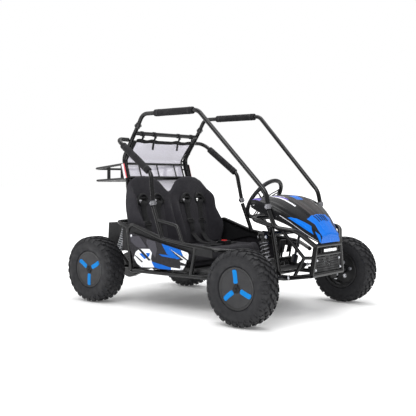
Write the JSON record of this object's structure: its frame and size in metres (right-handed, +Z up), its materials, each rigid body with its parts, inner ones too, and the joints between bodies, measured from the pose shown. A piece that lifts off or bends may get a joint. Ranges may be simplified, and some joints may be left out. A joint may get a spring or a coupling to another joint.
{
  "type": "kart chassis",
  "caption": "Two-seat off-road kart with a tube roll cage, twin seats, sprung A-arms in front and a live axle on a swing arm behind.",
  "frame": {"origin": "on the ground, at the middle of the whole kart", "axes": "+X forward, +Y to the driver's left, +Z up"},
  "size_m": [1.6185, 1.2, 1.1793],
  "materials": {
    "frame_paint": "gloss",
    "zinc": "satin",
    "chrome": "polished",
    "foam": "matt",
    "net": "mesh",
    "steel_black": "satin",
    "panel": "gloss",
    "cowl": "gloss",
    "lamp": "gloss",
    "reflector": "gloss",
    "dark_plastic": "satin",
    "button_red": "gloss",
    "seat_fabric": "matt",
    "webbing": "matt",
    "tyre": "matt",
    "rim": "satin",
    "spring": "gloss",
    "aluminium": "cast",
    "disc_steel": "brushed"
  },
  "bodies": {
    "chassis": {"lower_frame": "frame_paint", "side_rails": "frame_paint", "front_frame": "frame_paint", "main_hoop": "frame_paint", "roof_bars": "frame_paint", "side_bars": "frame_paint", "foam_pads": "foam", "cargo_rack": "frame_paint", "wind_net": "net", "floor_pan": "steel_black", "side_panels": "panel", "front_cowl": "cowl", "front_grille": "steel_black", "light_bar": "lamp", "reflectors": "reflector", "battery_pack": "dark_plastic", "rear_cover": "dark_plastic", "seat_back": "seat_fabric", "seat_base": "seat_fabric", "harness_webbing": "webbing", "harness_fittings": "dark_plastic", "rack_housing": "frame_paint", "cage_clamps": "zinc"},
    "steering": {"steering_wheel": "dark_plastic", "steering_column": "zinc"},
    "steering_lower_shaft": {"lower_shaft": "zinc"},
    "rack": {"rack_bar": "zinc"},
    "brake_pedal_body": {"brake_pedal": "steel_black"},
    "throttle_pedal_body": {"throttle_pedal": "steel_black"},
    "swing_arm_body": {"swing_arm": "frame_paint", "drive_motor": "aluminium", "brake_caliper": "aluminium", "drive_chain": "zinc"},
    "axle_body": {"rear_axle": "zinc", "sprocket": "zinc", "brake_disc": "disc_steel", "rear_wheels": "rim", "rear_tyres": "tyre"},
    "pinion_body": {"motor_pinion": "zinc"},
    "rear_shock_bodies": {"rear_shock_body": "zinc", "rear_shock_spring": "spring"},
    "rear_shock_rods": {"rear_shock_rod": "chrome"},
    "a_arm_left_body": {"a_arm_left": "frame_paint"},
    "knuckle_left_body": {"knuckle_left": "zinc"},
    "tie_rod_left_body": {"tie_rod_left": "zinc"},
    "front_wheel_left_body": {"front_wheel_left": "rim", "front_tyre_left": "tyre"},
    "front_shock_left_upper": {"front_shock_left_body": "zinc", "front_shock_left_spring": "spring"},
    "front_shock_left_lower": {"front_shock_left_rod": "chrome"},
    "a_arm_right_body": {"a_arm_right": "frame_paint"},
    "knuckle_right_body": {"knuckle_right": "zinc"},
    "tie_rod_right_body": {"tie_rod_right": "zinc"},
    "front_wheel_right_body": {"front_wheel_right": "rim", "front_tyre_right": "tyre"},
    "front_shock_right_upper": {"front_shock_right_body": "zinc", "front_shock_right_spring": "spring"},
    "front_shock_right_lower": {"front_shock_right_rod": "chrome"},
    "buckle_button_left_body": {"buckle_button_left": "button_red"},
    "buckle_button_right_body": {"buckle_button_right": "dark_plastic"}
  },
  "joints": [
    {"name": "steering_turn", "type": "hinge", "parent": "chassis", "child": "steering", "pos_m": [0.24, 0.18, 0.639], "axis": [-0.8192, 0, 0.5736], "range_deg": [-90, 90]},
    {"name": "lower_shaft_turn", "type": "hinge", "parent": "chassis", "child": "steering_lower_shaft", "pos_m": [0.49967, 0.18, 0.45718], "axis": [-0.1351, 0.5361, 0.8332], "range_deg": [-91, 91]},
    {"name": "rack_slide", "type": "slide", "parent": "chassis", "child": "rack", "axis": [0, 1, 0], "range_m": [-0.0276, 0.0276]},
    {"name": "a_arm_left_pivot", "type": "hinge", "parent": "chassis", "child": "a_arm_left_body", "pos_m": [0.6085, 0.228, 0.232], "axis": [1, 0, 0], "range_deg": [0, 12], "stiffness_Nm_per_rad": 400, "springref_deg": -20.05},
    {"name": "kingpin_left", "type": "hinge", "parent": "a_arm_left_body", "child": "knuckle_left_body", "pos_m": [0.6, 0.432, 0.216], "axis": [0, 0, 1], "range_deg": [-20, 20]},
    {"name": "tie_rod_left_slide", "type": "slide", "parent": "a_arm_left_body", "child": "tie_rod_left_body", "axis": [0, 1, 0], "range_m": [-0.0276, 0.0276]},
    {"name": "front_wheel_left_spin", "type": "hinge", "parent": "knuckle_left_body", "child": "front_wheel_left_body", "pos_m": [0.6, 0.534, 0.203], "axis": [0, 1, 0], "continuous": true},
    {"name": "front_shock_left_swing", "type": "hinge", "parent": "chassis", "child": "front_shock_left_upper", "pos_m": [0.575, 0.318, 0.452], "axis": [1, 0, 0], "range_deg": [-3, 3]},
    {"name": "front_shock_left_stroke", "type": "slide", "parent": "front_shock_left_upper", "child": "front_shock_left_lower", "axis": [-0.2401, -0.0204, 0.9705], "range_m": [0, 0.0196], "deforming": ["front_shock_left_spring"]},
    {"name": "a_arm_right_pivot", "type": "hinge", "parent": "chassis", "child": "a_arm_right_body", "pos_m": [0.6085, -0.228, 0.232], "axis": [-1, 0, 0], "range_deg": [0, 12], "stiffness_Nm_per_rad": 400, "springref_deg": -20.05},
    {"name": "kingpin_right", "type": "hinge", "parent": "a_arm_right_body", "child": "knuckle_right_body", "pos_m": [0.6, -0.432, 0.216], "axis": [0, 0, 1], "range_deg": [-20, 20]},
    {"name": "tie_rod_right_slide", "type": "slide", "parent": "a_arm_right_body", "child": "tie_rod_right_body", "axis": [0, 1, 0], "range_m": [-0.0276, 0.0276]},
    {"name": "front_wheel_right_spin", "type": "hinge", "parent": "knuckle_right_body", "child": "front_wheel_right_body", "pos_m": [0.6, -0.534, 0.203], "axis": [0, 1, 0], "continuous": true},
    {"name": "front_shock_right_swing", "type": "hinge", "parent": "chassis", "child": "front_shock_right_upper", "pos_m": [0.575, -0.318, 0.452], "axis": [-1, 0, 0], "range_deg": [-3, 3]},
    {"name": "front_shock_right_stroke", "type": "slide", "parent": "front_shock_right_upper", "child": "front_shock_right_lower", "axis": [-0.2401, 0.0204, 0.9705], "range_m": [0, 0.0196], "deforming": ["front_shock_right_spring"]},
    {"name": "swing_arm_pivot", "type": "hinge", "parent": "chassis", "child": "swing_arm_body", "pos_m": [-0.385, 0, 0.215], "axis": [0, 1, 0], "range_deg": [0, 12], "stiffness_Nm_per_rad": 900, "springref_deg": -20.05},
    {"name": "rear_axle_spin", "type": "hinge", "parent": "swing_arm_body", "child": "axle_body", "pos_m": [-0.6, 0, 0.203], "axis": [0, 1, 0], "continuous": true},
    {"name": "motor_spin", "type": "hinge", "parent": "swing_arm_body", "child": "pinion_body", "pos_m": [-0.438, 0, 0.222], "axis": [0, 1, 0], "continuous": true},
    {"name": "rear_shock_swing", "type": "hinge", "parent": "chassis", "child": "rear_shock_bodies", "pos_m": [-0.43, 0, 0.478], "axis": [0, 1, 0], "range_deg": [-4, 4]},
    {"name": "rear_shock_stroke", "type": "slide", "parent": "rear_shock_bodies", "child": "rear_shock_rods", "axis": [0.366, 0, 0.9306], "range_m": [0, 0.0279], "deforming": ["rear_shock_spring"]},
    {"name": "brake_pedal_pivot", "type": "hinge", "parent": "chassis", "child": "brake_pedal_body", "pos_m": [0.4, 0.118, 0.257], "axis": [0, 1, 0], "range_deg": [0, 20], "stiffness_Nm_per_rad": 3, "springref_deg": -28.65},
    {"name": "throttle_pedal_pivot", "type": "hinge", "parent": "chassis", "child": "throttle_pedal_body", "pos_m": [0.4, 0.206, 0.257], "axis": [0, 1, 0], "range_deg": [0, 20], "stiffness_Nm_per_rad": 3, "springref_deg": -28.65},
    {"name": "buckle_button_left_press", "type": "slide", "parent": "chassis", "child": "buckle_button_left_body", "axis": [0, 0, -1], "range_m": [0, 0.004], "stiffness_N_per_m": 800, "springref_m": -0.003},
    {"name": "buckle_button_right_press", "type": "slide", "parent": "chassis", "child": "buckle_button_right_body", "axis": [0, 0, -1], "range_m": [0, 0.004], "stiffness_N_per_m": 800, "springref_m": -0.003}
  ],
  "couplings": [
    {"joint": "lower_shaft_turn", "follows": "steering_turn", "ratio": 1},
    {"joint": "rack_slide", "follows": "steering_turn", "m_per_rad": -0.0175},
    {"joint": "kingpin_left", "follows": "steering_turn", "ratio": 0.2222},
    {"joint": "tie_rod_left_slide", "follows": "steering_turn", "m_per_rad": -0.0175},
    {"joint": "front_shock_left_swing", "follows": "a_arm_left_pivot", "ratio": -0.205},
    {"joint": "front_shock_left_stroke", "follows": "a_arm_left_pivot", "m_per_rad": 0.0929},
    {"joint": "kingpin_right", "follows": "steering_turn", "ratio": 0.2222},
    {"joint": "tie_rod_right_slide", "follows": "steering_turn", "m_per_rad": -0.0175},
    {"joint": "front_shock_right_swing", "follows": "a_arm_right_pivot", "ratio": -0.205},
    {"joint": "front_shock_right_stroke", "follows": "a_arm_right_pivot", "m_per_rad": 0.0929},
    {"joint": "motor_spin", "follows": "rear_axle_spin", "ratio": 3.2727},
    {"joint": "rear_shock_swing", "follows": "swing_arm_pivot", "ratio": -0.29},
    {"joint": "rear_shock_stroke", "follows": "swing_arm_pivot", "m_per_rad": 0.1325}
  ]
}
